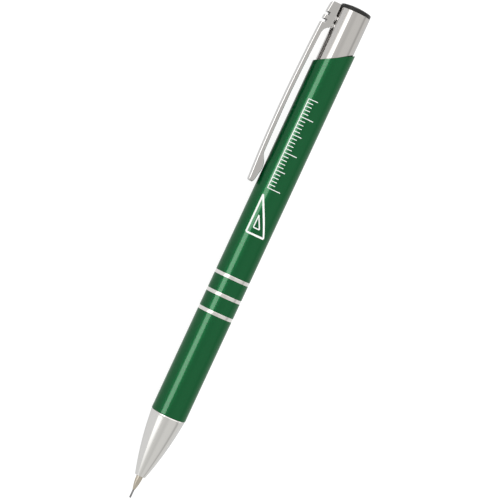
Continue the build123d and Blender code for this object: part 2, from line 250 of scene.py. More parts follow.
def curve_value(points, height):
    """Smooth curve (Catmull-Rom) through (radius, height) points, read at a height."""
    count = len(points)
    index = max(i for i in range(count - 1) if i == 0 or points[i][1] <= height)
    (r1, h1), (r2, h2) = points[index], points[index + 1]
    before = points[index - 1] if index else None
    after = points[index + 2] if index + 2 < count else None
    slope = (r2 - r1) / (h2 - h1)
    slope_1 = (r2 - before[0]) / (h2 - before[1]) if before else slope
    slope_2 = (after[0] - r1) / (after[1] - h1) if after else slope
    t = min(max((height - h1) / (h2 - h1), 0), 1)
    span = h2 - h1
    return (
        (2 * t ** 3 - 3 * t ** 2 + 1) * r1
        + (t ** 3 - 2 * t ** 2 + t) * span * slope_1
        + (3 * t ** 2 - 2 * t ** 3) * r2
        + (t ** 3 - t ** 2) * span * slope_2)


def lathe(name, profile, body, nodes, material, segments=128, closed=True, shift=None):
    """Turned piece from (radius, height) points listed round its section.

    A section that isn't closed starts and ends on the axis. shift(x, height) says how far a point
    is moved along the axis, for an oblique or worn end.
    """
    shape = bmesh.new()
    rings = []
    for radius, height in profile:
        ring = []
        for segment in range(segments if radius > 0 else 1):
            angle = 2 * pi * segment / segments
            x, y = radius * cos(angle), radius * sin(angle)
            z = height + (shift(x, height) if shift else 0)
            ring.append(shape.verts.new((x, y, z)))
        rings.append(ring)
    pairs = list(zip(rings, rings[1:]))
    if closed:
        pairs.append((rings[-1], rings[0]))
    for low, high in pairs:
        for segment in range(segments):
            following = (segment + 1) % segments
            corners = [
                low[segment % len(low)], low[following % len(low)],
                high[following % len(high)], high[segment % len(high)]]
            corners = list(dict.fromkeys(corners))
            if len(corners) > 2:
                shape.faces.new(corners)
    bmesh.ops.recalc_face_normals(shape, faces=shape.faces)
    return smooth(finish_mesh(name, finish_shape(name, shape), body, nodes, material))


def box_tool(x_span, y_span, z_span):
    """Box between pairs of coordinates in the pencil's frame, as a tool for combine."""
    shape = bmesh.new()
    bmesh.ops.create_cube(shape, size=1)
    for vertex in shape.verts:
        vertex.co = Vector([
            low if coordinate < 0 else high
            for coordinate, (low, high) in zip(vertex.co, (x_span, y_span, z_span))])
    mesh = finish_shape("tool", shape)
    mesh.transform(PENCIL_MM)
    return new_object("tool", mesh)


def combine(piece, tools, operation):
    """Applies a boolean with each tool and removes the tools."""
    for tool in tools:
        modifier = piece.modifiers.new("cut", "BOOLEAN")
        modifier.operation = operation
        modifier.solver = "EXACT"
        modifier.object = tool
        modifier.material_mode = "TRANSFER" if tool.data.materials else "INDEX"
        apply_modifiers(piece)
        bpy.data.objects.remove(tool)


def apply_modifiers(piece):
    """Bakes the piece's modifiers into its mesh."""
    graph = bpy.context.evaluated_depsgraph_get()
    graph.update()
    mesh = bpy.data.meshes.new_from_object(piece.evaluated_get(graph), depsgraph=graph)
    old = piece.data
    piece.modifiers.clear()
    piece.data = mesh
    bpy.data.meshes.remove(old)


# ---------------------------------------------------------------- material helpers
class Nodes:
    """A material's node tree with short calls for adding and linking nodes."""

    def __init__(self, name):
        self.material = bpy.data.materials.new(name)
        self.material.use_nodes = True
        self.tree = self.material.node_tree
        self.shader = self.tree.nodes["Principled BSDF"]
        self.where = self.add("ShaderNodeTexCoord").outputs["Object"]

    def add(self, kind, inputs=None, **settings):
        node = self.tree.nodes.new(kind)
        for name, value in settings.items():
            setattr(node, name, value)
        for name, value in (inputs or {}).items():
            self.give(node, name, value)
        return node

    def give(self, node, name, value):
        """Sets a socket to a value, or links it when the value is another node's output."""
        if isinstance(value, bpy.types.NodeSocket):
            self.tree.links.new(value, node.inputs[name])
        else:
            node.inputs[name].default_value = value

    def set(self, **values):
        for name, value in values.items():
            self.give(self.shader, name.replace("_", " "), value)

    def noise(self, size_mm, detail=3.0, stretch=(1, 1, 1), seed=0.0):
        """Noise from 0 to 1 whose features are about size_mm across, drawn out by stretch."""
        scale = [1 / (size_mm * MM * factor) for factor in stretch]
        mapped = self.add(
            "ShaderNodeMapping",
            {"Vector": self.where, "Scale": scale, "Location": (seed, seed, seed)})
        texture = self.add(
            "ShaderNodeTexNoise",
            {"Vector": mapped.outputs["Vector"], "Scale": 1.0, "Detail": detail})
        return texture.outputs["Fac"]

    def lathe_marks(self, pitch_mm):
        """Fine turning marks: bands along the pencil's axis, from 0 to 1."""
        scale = 2 * pi / (20 * pitch_mm * MM)    # the texture has 20 / (2 pi) bands to a unit
        wave = self.add(
            "ShaderNodeTexWave",
            {"Vector": self.where, "Scale": scale, "Distortion": 0.6, "Detail": 2.0},
            wave_type="BANDS", bands_direction="X", wave_profile="SIN")
        return wave.outputs["Fac"]

    def ramp(self, fac, low, high):
        """Maps 0..1 to low..high."""
        node = self.add(
            "ShaderNodeMapRange", {"Value": fac, "To Min": low, "To Max": high}, clamp=True)
        return node.outputs["Result"]

    def mix(self, fac, low, high):
        """Mixes two colours by fac."""
        node = self.add("ShaderNodeMix", data_type="RGBA")
        self.give(node, 0, fac)
        self.give(node, 6, low)
        self.give(node, 7, high)
        return node.outputs[2]

    def bump(self, height, depth_mm):
        """Roughens the surface by a height from 0 to 1 that stands for depth_mm."""
        node = self.add(
            "ShaderNodeBump", {"Height": height, "Distance": depth_mm * MM, "Strength": 1.0})
        self.tree.links.new(node.outputs["Normal"], self.shader.inputs["Normal"])


# ---------------------------------------------------------------- materials
def lacquer():
    """Green translucent lacquer over bright metal: a tinted gloss under a clear top coat."""
    nodes = Nodes("green_lacquer")
    flake = nodes.noise(0.06, detail=1.0)
    cloud = nodes.noise(9, detail=2.0, stretch=(2, 1, 1), seed=4.0)
    tint = nodes.mix(
        nodes.ramp(cloud, 0.35, 0.65), (0.0008, 0.074, 0.0195, 1), (0.001, 0.082, 0.0225, 1))
    nodes.set(
        Base_Color=tint,
        Metallic=0.4,
        Roughness=nodes.ramp(flake, 0.28, 0.38),
        Specular_IOR_Level=0.02,
        Coat_Weight=0.2,
        Coat_Roughness=0.06,
        Coat_IOR=1.8)
    orange_peel = nodes.noise(1.6, detail=1.0, stretch=(1.5, 1, 1), seed=9.0)
    nodes.bump(orange_peel, 0.0008)
    return nodes.material


def chrome(name, roughness, tint, grazing):
    """Polished plating with faint wipe marks and a little haze; grazing tints its edges."""
    nodes = Nodes(name)
    haze = nodes.noise(3.5, detail=4.0, stretch=(1.6, 1, 1), seed=2.0)
    wipes = nodes.noise(0.12, detail=3.0, stretch=(18, 1, 1), seed=7.0)
    light = (*tint, 1)
    dull = tuple(channel * 0.965 for channel in tint) + (1,)
    nodes.set(
        Base_Color=nodes.mix(haze, light, dull),
        Metallic=1.0,
        Roughness=nodes.ramp(haze, *roughness),
        Specular_Tint=(grazing, grazing, grazing, 1))
    nodes.bump(wipes, 0.00025)
    return nodes.material


def turned_metal(name, tint, pitch_mm, depth_mm, roughness):
    """Lathe-cut metal with fine marks round the axis."""
    nodes = Nodes(name)
    marks = nodes.lathe_marks(pitch_mm)
    patches = nodes.noise(1.2, detail=3.0, seed=3.0)
    bright = (*tint, 1)
    dark = tuple(channel * 0.8 for channel in tint) + (1,)
    nodes.set(
        Base_Color=nodes.mix(patches, bright, dark),
        Metallic=1.0,
        Roughness=nodes.ramp(patches, *roughness))
    nodes.bump(marks, depth_mm)
    return nodes.material


def moulding(name, tint, roughness, grain_mm=0.08, depth_mm=0.003, **extra):
    """Moulded plastic or rubber with a fine grain and slight tone changes."""
    nodes = Nodes(name)
    grain = nodes.noise(grain_mm, detail=2.0)
    tone = nodes.noise(2.5, detail=3.0, seed=5.0)
    light = (*tint, 1)
    dark = tuple(channel * 0.86 for channel in tint) + (1,)
    nodes.set(
        Base_Color=nodes.mix(tone, light, dark), Roughness=nodes.ramp(tone, *roughness), **extra)
    nodes.bump(grain, depth_mm)
    return nodes.material


def graphite():
    nodes = Nodes("graphite")
    streaks = nodes.noise(0.05, detail=3.0, stretch=(12, 1, 1))
    nodes.set(
        Base_Color=nodes.mix(streaks, (0.12, 0.12, 0.125, 1), (0.2, 0.2, 0.205, 1)),
        Metallic=0.35,
        Roughness=nodes.ramp(streaks, 0.3, 0.5))
    nodes.bump(streaks, 0.004)
    return nodes.material


def print_ink():
    """White pad print: slightly rough, a touch uneven."""
    nodes = Nodes("white_print")
    uneven = nodes.noise(0.25, detail=3.0)
    nodes.set(
        Base_Color=nodes.mix(uneven, (0.86, 0.87, 0.86, 1), (0.74, 0.77, 0.75, 1)),
        Roughness=nodes.ramp(uneven, 0.35, 0.5))
    nodes.bump(uneven, 0.002)
    return nodes.material


LACQUER = lacquer()
CHROME = chrome("chrome", (0.035, 0.075), (0.7, 0.695, 0.68), 0.85)
CAP_CHROME = chrome("cap_chrome", (0.04, 0.08), (0.6, 0.585, 0.57), 0.8)
CLIP_CHROME = chrome("clip_chrome", (0.05, 0.09), (0.6, 0.59, 0.58), 0.8)
# The clip's inside is rougher, unpolished plating, which is real. Its darker tint than the clip's
# outside is painted shade for the channel's recess.
SHADED_INNER_CHROME = chrome("unpolished_shaded_chrome", (0.3, 0.45), (0.52, 0.515, 0.51), 0.8)
BRIGHT = turned_metal("bright_turned", (0.84, 0.83, 0.8), 0.05, 0.0006, (0.08, 0.16))
BARE_METAL = turned_metal("bare_barrel", (0.6, 0.59, 0.56), 0.12, 0.002, (0.2, 0.35))
TIP_METAL = turned_metal("tip_metal", (0.56, 0.51, 0.43), 0.06, 0.0012, (0.16, 0.26))
BRASS = turned_metal("brass", (0.66, 0.5, 0.24), 0.09, 0.003, (0.18, 0.3))
SPRING = turned_metal("spring_wire", (0.5, 0.5, 0.5), 0.3, 0.001, (0.2, 0.3))
SOCKET_METAL = turned_metal("socket_metal", (0.62, 0.62, 0.61), 0.1, 0.002, (0.22, 0.34))
BLACK = moulding(
    "black_plastic", (0.011, 0.011, 0.0105), (0.3, 0.42), 0.15, 0.0012, Specular_IOR_Level=0.3)
WHITE_PLASTIC = moulding("white_plastic", (0.72, 0.72, 0.68), (0.35, 0.5), Subsurface_Weight=0.15)
GREY_PLASTIC = moulding("grey_plastic", (0.2, 0.205, 0.21), (0.4, 0.55))
SEAL = moulding("seal_rubber", (0.02, 0.02, 0.02), (0.6, 0.75), 0.1, 0.006)
RUBBER = moulding("eraser_rubber", (0.8, 0.78, 0.73), (0.65, 0.85), 0.05, 0.01)
GRAPHITE = graphite()
INK = print_ink()


# ---------------------------------------------------------------- barrel
def mouth_shift(x, height):
    """Moves the points above the barrel's straight part to the oblique mouth."""
    return -MOUTH_SLOPE * x if height > STRAIGHT_TOP else 0


def groove_profile():
    """Outer wall of the barrel from the front up, dipping into the three grooves."""
    floor = LACQUER_RADIUS - GROOVE_DEPTH
    centre = LACQUER_RADIUS - GROOVE_EDGE
    points = []
    for name in RINGS:
        low, high = height_span(name)
        points += arc_points((centre, low - GROOVE_EDGE), GROOVE_EDGE, 0, 90, 4)
        points += [(floor, low), (floor, high)]
        points += arc_points((centre, high + GROOVE_EDGE), GROOVE_EDGE, -90, 0, 4)
    return points


def make_barrel():
    """Lacquered shell with a rounded oblique mouth, over a bare metal lining."""
    edge, rim, inner_rim = 0.07, 0.11, 0.066
    inner = LACQUER_RADIUS - SHELL_THICKNESS
    front = arc_points((LACQUER_RADIUS - edge, BARREL_FRONT + edge), edge, -90, 0, 4)
    mouth = arc_points((LACQUER_RADIUS - rim, MOUTH_MIDDLE - rim), rim, 0, 90, 5)
    mouth += arc_points((inner + inner_rim, MOUTH_MIDDLE - inner_rim), inner_rim, 90, 180, 4)
    profile = [(inner, BARREL_FRONT), *front, *groove_profile()]
    profile += [(LACQUER_RADIUS, STRAIGHT_TOP), *mouth, (inner, STRAIGHT_TOP)]
    shell = lathe(
        "barrel_shell", profile, "barrel", ["barrel"], LACQUER, 160,
        shift=mouth_shift)

    heights = (BARREL_FRONT + 0.4, STRAIGHT_TOP, MOUTH_MIDDLE - 0.35)
    lining = [(inner - 0.005, height) for height in heights]
    lining += [(BARREL_BORE, height) for height in reversed(heights)]
    lathe("barrel_bore", lining, "barrel", [], BARE_METAL, 128, shift=mouth_shift)
    return shell


def make_rings():
    """Bright bands let into the grooves, with crowned faces and softened edges."""
    gap = 0.01
    floor = LACQUER_RADIUS - GROOVE_DEPTH - gap
    crest = node_radius(RINGS[0])
    rim = crest - RING_CROWN
    for name in RINGS:
        low, high = height_span(name)
        low, high = low + gap, high - gap
        start, end = low + RING_EDGE, high - RING_EDGE
        profile = [(floor, low), *arc_points((rim - RING_EDGE, start), RING_EDGE, -90, -20, 3)]
        profile += arc_through((rim, start), (crest, (low + high) / 2), (rim, end), 12)
        profile += [*arc_points((rim - RING_EDGE, end), RING_EDGE, 20, 90, 3), (floor, high)]
        lathe(name + "_band", profile, "barrel", [name], BRIGHT, 160)


# ---------------------------------------------------------------- writing end
def make_nose():
    """Ogive nose whose back lip leans in, so that the joint catches the light."""
    edge = 0.16
    hole = TIP_SHANK_RADIUS + 0.03
    mouth_centre = (NOSE_MOUTH_RADIUS - edge, NOSE_FRONT + edge)
    lip_radius = NOSE_BACK_RADIUS + 0.02
    lip_front = BARREL_FRONT - NOSE_LIP
    entry = [(hole, NOSE_FRONT + 1.7), (hole, NOSE_FRONT + 0.12), (hole + 0.1, NOSE_FRONT + 0.02)]
    mouth = arc_points(mouth_centre, edge, -90, 0, 5)
    outline = arc_through(
        (NOSE_MOUTH_RADIUS, NOSE_FRONT + edge), NOSE_MID, (NOSE_BACK_RADIUS, BARREL_FRONT), 48)
    outline = [(radius, height) for radius, height in outline if height < lip_front - 0.05]
    lip = [
        (lip_radius - 0.02, lip_front), (lip_radius, lip_front + 0.02),
        (lip_radius, lip_front + 0.04), (lip_radius - 0.11, lip_front + 0.27),
        (lip_radius - 0.16, BARREL_FRONT - 0.08), (lip_radius - 0.2, BARREL_FRONT)]
    spigot = [
        (SPIGOT_RADIUS, BARREL_FRONT), (SPIGOT_RADIUS, SPIGOT_BACK), (NOSE_BORE, SPIGOT_BACK),
        (NOSE_BORE, NOSE_BORE_FRONT), (TIP_SEAT_RADIUS, TIP_SEAT_BACK),
        (TIP_SEAT_RADIUS, TIP_SEAT_FRONT), (hole, TIP_SEAT_FRONT)]
    profile = [*entry, *mouth[:-1], *outline, *lip, *spigot]
    lathe("nose_shell", profile, "barrel", ["nose_cone"], CHROME, 160)


def make_tip():
    """Guide tip: a short cone that swells into a slim shank, with a collar inside the nose."""
    hole = LEAD_RADIUS + 0.03
    end_radius = 0.36
    end = [
        (hole, TIP_FRONT + 0.25), (hole + 0.02, TIP_FRONT + 0.02), (end_radius - 0.02, TIP_FRONT)]
    cone = spread((end_radius, TIP_FRONT + 0.04), (0.7, 3.92), 4)
    swell = arc_through((0.72, 4.0), (0.86, 5.2), (TIP_SHANK_RADIUS, 6.6), 10)
    collar = [
        (TIP_SHANK_RADIUS, TIP_SEAT_FRONT), (TIP_COLLAR_RADIUS, TIP_SEAT_FRONT),
        (TIP_COLLAR_RADIUS, TIP_COLLAR_BACK), (TIP_POCKET_RADIUS, TIP_COLLAR_BACK),
        (TIP_POCKET_RADIUS, TIP_POCKET_FRONT), (hole, TIP_POCKET_FRONT)]
    profile = [*end, *cone, *swell, *collar]
    lathe("guide_tip", profile, "barrel", ["lead_tip"], TIP_METAL, 64)


def make_lead():
    """Lead in use: its point is worn a little to one side."""
    length = height_span("lead")[1]
    profile = [(0, 0.02), (0.1, 0.0), (0.17, 0.02), (0.22, 0.07), (LEAD_RADIUS, 0.16)]
    profile += spread((LEAD_RADIUS, 0.6), (LEAD_RADIUS, length - 0.05), 12)
    profile += [(LEAD_RADIUS - 0.04, length), (0, length)]

    def worn(x, height):
        return (x + LEAD_RADIUS) * 0.25 * max(0, 1 - height / 0.2)

    lathe(
        "writing_lead", profile, "lead", ["lead"], GRAPHITE, 32, closed=False,
        shift=worn)


def make_spring():
    """Coil spring with closed end turns, drawn at one length: the real one shortens towards its
    back seat with the push, which this mesh doesn't.
    """
    low, high = height_span("return_spring")
    coil_radius = node_radius("return_spring") - SPRING_WIRE_RADIUS
    end_pitch = 2 * SPRING_WIRE_RADIUS + 0.01
    middle_turns = SPRING_TURNS - 2
    pitch = (high - low - 2 * SPRING_WIRE_RADIUS - 2 * end_pitch) / middle_turns
    sections = []
    for step in range(SPRING_TURNS * SPRING_TURN_STEPS + 1):
        turn = step / SPRING_TURN_STEPS
        rise = min(turn, 1) * end_pitch + min(max(turn - 1, 0), middle_turns) * pitch
        rise += max(turn - middle_turns - 1, 0) * end_pitch
        centre = (coil_radius, low + SPRING_WIRE_RADIUS + rise)
        x, y = cos(2 * pi * turn), sin(2 * pi * turn)
        sections.append([
            (radius * x, radius * y, height)
            for radius, height in arc_points(centre, SPRING_WIRE_RADIUS, 0, 330, 11)])
    coil = finish_mesh(
        "return_spring_coil", loft("spring", sections), "lead_feed",
        ["return_spring"], SPRING)
    smooth(coil, 60)
    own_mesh(coil)


# ---------------------------------------------------------------- cap end
def make_cap_tube():
    """Cap tube with a bead at each end of its liner and windows for the clip's legs."""
    bore = CAP_RADIUS - CAP_WALL
    low, high = CAP_SPAN
    centre = CAP_RADIUS - CAP_EDGE
    outer = arc_points((centre, low + CAP_EDGE), CAP_EDGE, -90, 0, 4)
    inner = []
    for bead in (LINER_SPAN[0] - 0.6, LINER_SPAN[1] + 0.1):
        outer += [(CAP_RADIUS - inward, bead + up) for inward, up in BEAD_OUTSIDE]
        inner += [(bore - inward, bead + up) for inward, up in BEAD_INSIDE]
    outer += arc_points((centre, high - CAP_EDGE), CAP_EDGE, 0, 90, 4)
    profile = [*outer, (bore, high), *reversed(inner), (bore, low)]
    tube = lathe("cap_shell", profile, "push_cap", ["cap_tube"], CAP_CHROME, 160)
    tube.modifiers.clear()    # smoothed again after the cuts
    half = CLIP_WIDTH / 2
    depth = (2.8, CAP_RADIUS + 1)
    windows = []
    for side in (-1, 1):
        cheek = sorted((side * (half + LEG_ROOM), side * (half - CLIP_SHEET - LEG_ROOM)))
        for bottom, top in CLIP_LEGS:
            window = (bottom - 0.2, top + LEG_ROOM)
            windows.append(box_tool(depth, cheek, window))
    combine(tube, windows, "DIFFERENCE")
    smooth(tube)


def make_plug():
    """Domed plug with a rounded band, seated on the cap's rim."""
    dome_edge = PLUG_RADIUS - PLUG_CORNER
    dome_height = PLUG_TOP - PLUG_BAND_TOP - PLUG_CORNER
    dome_radius = (dome_edge ** 2 + dome_height ** 2) / (2 * dome_height)
    span = degrees(asin(dome_edge / dome_radius))
    shank, chamfer = CAP_RADIUS - CAP_WALL - 0.02, 0.3
    rim = CAP_SPAN[1]
    profile = [(0, PLUG_BOTTOM), (shank - chamfer, PLUG_BOTTOM), (shank, PLUG_BOTTOM + chamfer)]
    profile += [(shank, rim - 0.02), (PLUG_RADIUS - 0.06, rim + 0.005), (PLUG_RADIUS, rim + 0.06)]
    profile += arc_points((dome_edge, PLUG_BAND_TOP), PLUG_CORNER, 0, 90 - span, 8)
    dome = arc_points((0, PLUG_TOP - dome_radius), dome_radius, 90 - span, 90, 14)[1:-1]
    profile += [*dome, (0, PLUG_TOP)]
    lathe("plug_head", profile, "push_cap", ["cap_plug"], BLACK, 128, closed=False)


def make_eraser():
    """Eraser: its end is rubbed down a little to one side."""
    low, high = height_span("eraser")
    radius, chamfer = node_radius("eraser"), 0.15
    profile = [(0, low), (radius - chamfer, low), (radius, low + chamfer), (radius, low + 3.9)]
    profile += [(radius, high - ERASER_EDGE)]
    profile += arc_points((radius - ERASER_EDGE, high - ERASER_EDGE), ERASER_EDGE, 0, 80, 7)
    profile += [(radius * 0.4, high - 0.02), (0, high - 0.05)]

    def used(x, height):
        return -0.12 * (x / radius + 1) * max(0, (height - high + 1.2) / 1.2)

    lathe(
        "eraser_stub", profile, "eraser", ["eraser"], RUBBER, 96, closed=False,
        shift=used)


def make_socket():
    """Ferrule that closes the lead tube, with a crimped neck that holds the rubber."""
    low, high = height_span("eraser_socket")
    radius, flange, edge = SOCKET_RADIUS, node_radius("eraser_socket"), 0.08
    cup, floor = node_radius("eraser") + 0.02, low + SOCKET_FLOOR
    flange_top = low + SOCKET_FLANGE
    profile = [(SOCKET_BORE, low), (flange - edge, low), (flange, low + edge)]
    profile += [(flange, flange_top - edge), (flange - edge, flange_top), (radius, flange_top)]
    crimp = arc_points((radius + 0.28, high - 2.2), 0.4, 225, 135, 6)
    profile += [(radius, high - 2.6), *crimp, (radius, high - 1.8), (radius, high - 0.3)]
    profile += arc_points(((radius + cup) / 2, high - 0.38), (radius - cup) / 2, 0, 180, 8)
    profile += [(cup, high - 0.6), (cup, floor), (SOCKET_BORE, floor)]
    lathe(
        "socket_ferrule", profile, "lead_feed", ["eraser_socket"], SOCKET_METAL,
        128)


# ---------------------------------------------------------------- clip
def clip_stations():
    """Heights at which the clip's section is drawn, closer together where it changes fast."""
    ends = [1 - cos(radians(10 * step)) for step in range(10)]
    heights = [CLIP_TIP + CLIP_TIP_ROUND * share for share in ends]
    heights += [CLIP_TOP - CLIP_TOP_ROUND * share for share in ends]
    heights += [88 + 0.25 * step for step in range(40)]      # grip lobe
    heights += range(98, 128)                                # arm
    root = [127.5 + 0.25 * step for step in range(40)]
    heights += [height for height in root if height < CLIP_TOP - CLIP_TOP_ROUND]
    heights += [CLIP_ROOT_BOTTOM - 0.25 + 0.05 * step for step in range(6)]
    heights = {round(height, 4) for height in heights}
    return sorted(height for height in heights if CLIP_TIP <= height <= CLIP_TOP)


def end_drop(distance, radius):
    """How far a rounded end of that radius has fallen away at a distance from the end."""
    if distance >= radius:
        return 0.0
    return radius - sqrt(radius ** 2 - (radius - distance) ** 2)


def spine_radius(height):
    """How far from the axis the spine is, with its rounded ends."""
    fall = end_drop(height - CLIP_TIP, CLIP_TIP_ROUND) + end_drop(CLIP_TOP - height, CLIP_TOP_ROUND)
    return curve_value(CLIP_SPINE, height) - fall


def cheek_radius(height):
    """How near the axis the cheeks reach: root block, notch, arm and grip lobe in turn."""
    if height >= CLIP_ROOT_BOTTOM:
        return CLIP_CHEEK_ROOT
    arm_top = CLIP_ARM_INNER[-1]
    if height > arm_top[1]:
        notch = arc_through((CLIP_CHEEK_ROOT, CLIP_ROOT_BOTTOM), CLIP_NOTCH_MID, arm_top, 40)
        nearest = sorted(notch, key=lambda point: abs(point[1] - height))[:2]
        (r1, h1), (r2, h2) = nearest
        return r1 + (r2 - r1) * (height - h1) / (h2 - h1)
    if height > CLIP_ARM_INNER[0][1]:
        return curve_value(CLIP_ARM_INNER, height)
    return curve_value(CLIP_LOBE, height)


def clip_section(face, cheek, half_width, edge, steps, curl=0.01):
    """The channel's U: from one cheek's edge, rounded by curl, over the spine to the other's."""
    rolled = arc_points((cheek + curl, half_width - curl), curl, 180, 90, 5)
    right = rolled + spread((cheek + curl, half_width), (face - edge, half_width), 6)[1:-1]
    corner = arc_points((face - edge, half_width - edge), edge, 90, 0, steps)
    crown = [(face, (half_width - edge) * share) for share in (0.5, 0)]
    half = [*right, *corner, *crown]
    return half + [(x, -y) for x, y in reversed(half[:-1])]


def loft(name, sections):
    """Closed solid through sections, each a list of points (x, y, z) of equal length."""
    shape = bmesh.new()
    rings = [[shape.verts.new(place) for place in section] for section in sections]
    for low, high in zip(rings, rings[1:]):
        for index in range(len(low)):
            following = (index + 1) % len(low)
            shape.faces.new([low[index], low[following], high[following], high[index]])
    shape.faces.new(rings[0])
    shape.faces.new(rings[-1])
    bmesh.ops.recalc_face_normals(shape, faces=shape.faces)
    return finish_shape(name, shape)


def clip_outside(heights):
    """Sections of the clip's outer face."""
    sections = []
    for height in heights:
        narrowing = end_drop(height - CLIP_TIP, CLIP_TIP_CORNER) * CLIP_TIP_NARROWING
        curl = CLIP_CURL if height < CLIP_ROOT_BOTTOM - 0.5 else CLIP_ROOT_CURL
        section = clip_section(
            spine_radius(height), cheek_radius(height), CLIP_WIDTH / 2 - narrowing, CLIP_EDGE, 8,
            curl)
        sections.append([(x, y, height) for x, y in section])
    return sections


def clip_inside(heights):
    """Sections of what is taken out of the clip, a sheet's thickness inside its outer face."""
    half_width = CLIP_WIDTH / 2 - CLIP_SHEET
    sections = []
    for height in heights:
        if CLIP_TIP + CLIP_SHEET < height < CLIP_TOP - CLIP_SHEET:
            face = curve_value(CLIP_SPINE, height) - CLIP_SHEET
            section = clip_section(face, CLIP_LEG_END, half_width, CLIP_INNER_EDGE, 4)
            sections.append([(x, y, height) for x, y in section])
    return sections


def make_clip():
    """Folded channel with two cross slots at its root and legs that go into the cap."""
    half = CLIP_WIDTH / 2
    heights = clip_stations()
    body = finish_mesh(
        "clip_channel", loft("clip", clip_outside(heights)), "clip", ["clip"],
        CLIP_CHROME)
    hollow = new_object("hollow", loft("hollow", clip_inside(heights)))
    hollow.data.transform(PENCIL_MM)
    # The hollow's faces give the channel's inside the darker chrome, which is painted shade in the
    # recess.
    hollow.data.materials.append(SHADED_INNER_CHROME)
    depth = (CLIP_SLOT_FACE - CLIP_SLOT_DEPTH, CLIP_SLOT_FACE + 1)
    slots = [box_tool(depth, (-CLIP_WIDTH, CLIP_WIDTH), span) for span in CLIP_SLOTS]
    combine(body, [hollow, *slots], "DIFFERENCE")
    legs = []
    for side in (-1, 1):
        cheek = sorted((side * (half - 0.01), side * (half - CLIP_SHEET + 0.01)))
        for span in CLIP_LEGS:
            legs.append(box_tool((CLIP_LEG_END, CLIP_CHEEK_ROOT + 0.1), cheek, span))
    combine(body, legs, "UNION")
    bevel = body.modifiers.new("sheet edges", "BEVEL")
    bevel.width = CLIP_BEVEL * MM
    bevel.segments = 2
    bevel.limit_method = "ANGLE"
    bevel.angle_limit = radians(40)
    bevel.use_clamp_overlap = True
    apply_modifiers(body)
    return smooth(body, 50)


# ---------------------------------------------------------------- print on the barrel
PRINT_ANGLE = radians(91)     # where arc length 0 is, a little right of the middle for the camera
PRINT_LINE = 0.24
# Corners as (arc length, height).
SET_SQUARE = ((-2.5, 75.0), (2.7, 75.0), (-2.5, 85.4))
SET_SQUARE_LINE = 0.5
SET_SQUARE_WINDOW = ((-1.2, 76.7), (0.5, 76.7), (-1.2, 80.1))
SET_SQUARE_WINDOW_LINE = 0.3
SCALE_START, SCALE_LENGTH = 87.4, 25
SCALE_BASE = -2.2             # arc length where its ticks start
TICK_HALF_WIDTH = 0.1
TICK_ONE, TICK_FIVE, TICK_TEN = 1.7, 2.6, 3.6


def tick(reach, height):
    """Outline of a tick of the scale, with points enough along it to follow the barrel."""
    arcs = [arc for arc, _ in spread((SCALE_BASE, 0), (SCALE_BASE + reach, 0), 14)]
    low, high = height - TICK_HALF_WIDTH, height + TICK_HALF_WIDTH
    return [(arc, low) for arc in arcs] + [(arc, high) for arc in reversed(arcs)]


def stroke(start, end, width):
    """Outline of a straight printed stroke between two (arc length, height) points."""
    points = [Vector(place) for place in spread(start, end, 24)]
    aside = (points[-1] - points[0]).orthogonal().normalized() * width / 2
    there = [tuple(place + aside) for place in points]
    back = [tuple(place - aside) for place in reversed(points)]
    return there + back


def triangle(corners, width):
    """Outlines of a triangle's three strokes."""
    return [stroke(start, end, width) for start, end in zip(corners, (*corners[1:], corners[0]))]


def decal(name, patches):
    """Thin printed patches wrapped on the barrel, each an outline of (arc length, height) points.

    The second half of an outline runs back beside the first, point by point.
    """
    shape = bmesh.new()
    outer = BARREL_RADIUS - 0.002
    inner = LACQUER_RADIUS - 0.02
    for patch in patches:
        top = []
        bottom = []
        for arc, height in patch:
            angle = PRINT_ANGLE + arc / BARREL_RADIUS
            top.append(shape.verts.new((outer * cos(angle), outer * sin(angle), height)))
            bottom.append(shape.verts.new((inner * cos(angle), inner * sin(angle), height)))
        count = len(patch)
        for index in range(count // 2 - 1):
            strip = (index, index + 1, count - 2 - index, count - 1 - index)
            shape.faces.new([top[corner] for corner in strip])
            shape.faces.new([bottom[corner] for corner in reversed(strip)])
        for index in range(count):
            following = (index + 1) % count
            shape.faces.new([top[index], bottom[index], bottom[following], top[following]])
    bmesh.ops.recalc_face_normals(shape, faces=shape.faces)
    finish_mesh(name, finish_shape(name, shape), "barrel", [], INK)


def make_print():
    """Plain drafting marks: a set square, and a scale with longer ticks at its fives and tens."""
    square = triangle(SET_SQUARE, SET_SQUARE_LINE)
    square += triangle(SET_SQUARE_WINDOW, SET_SQUARE_WINDOW_LINE)
    decal("print_set_square", square)
    scale_ends = ((SCALE_BASE, SCALE_START), (SCALE_BASE, SCALE_START + SCALE_LENGTH))
    marks = [stroke(*scale_ends, PRINT_LINE)]
    for step in range(SCALE_LENGTH + 1):
        reach = TICK_TEN if step % 10 == 0 else TICK_FIVE if step % 5 == 0 else TICK_ONE
        marks.append(tick(reach, SCALE_START + step))
    decal("print_scale", marks)


# ---------------------------------------------------------------- pieces that keep their CAD shape
def dress_cad_nodes():
    """Gives the inner mechanism its materials."""
    dressing = {
        "nose_thread_insert": BRASS, "mechanism_sleeve": BRASS, "chuck": BRASS,
        "clutch_ring": BRASS, "lead_retainer": SEAL, "chuck_coupler": WHITE_PLASTIC,
        "lead_tube": WHITE_PLASTIC, "spare_leads": GRAPHITE, "cap_liner": GREY_PLASTIC}
    for node, material in dressing.items():
        mesh = frame["nodes"][node].data
        for index in range(len(mesh.materials)):
            mesh.materials[index] = material


# ---------------------------------------------------------------- studio
CAMERA_DISTANCE = 550         # millimetres from the pencil's axis
CAMERA_TARGET = (-1.2, 0, 71.0)
CAMERA_TURN = 7.5             # degrees the clip is turned towards the camera
CAMERA_TILT = 0.7             # degrees the camera looks down the pencil towards its point
CAMERA_LEAN = 24.93           # degrees the pencil leans to the right in the frame
FRAME_WIDTH = 128.75          # millimetres the frame shows at the pencil
SENSOR = 36.0

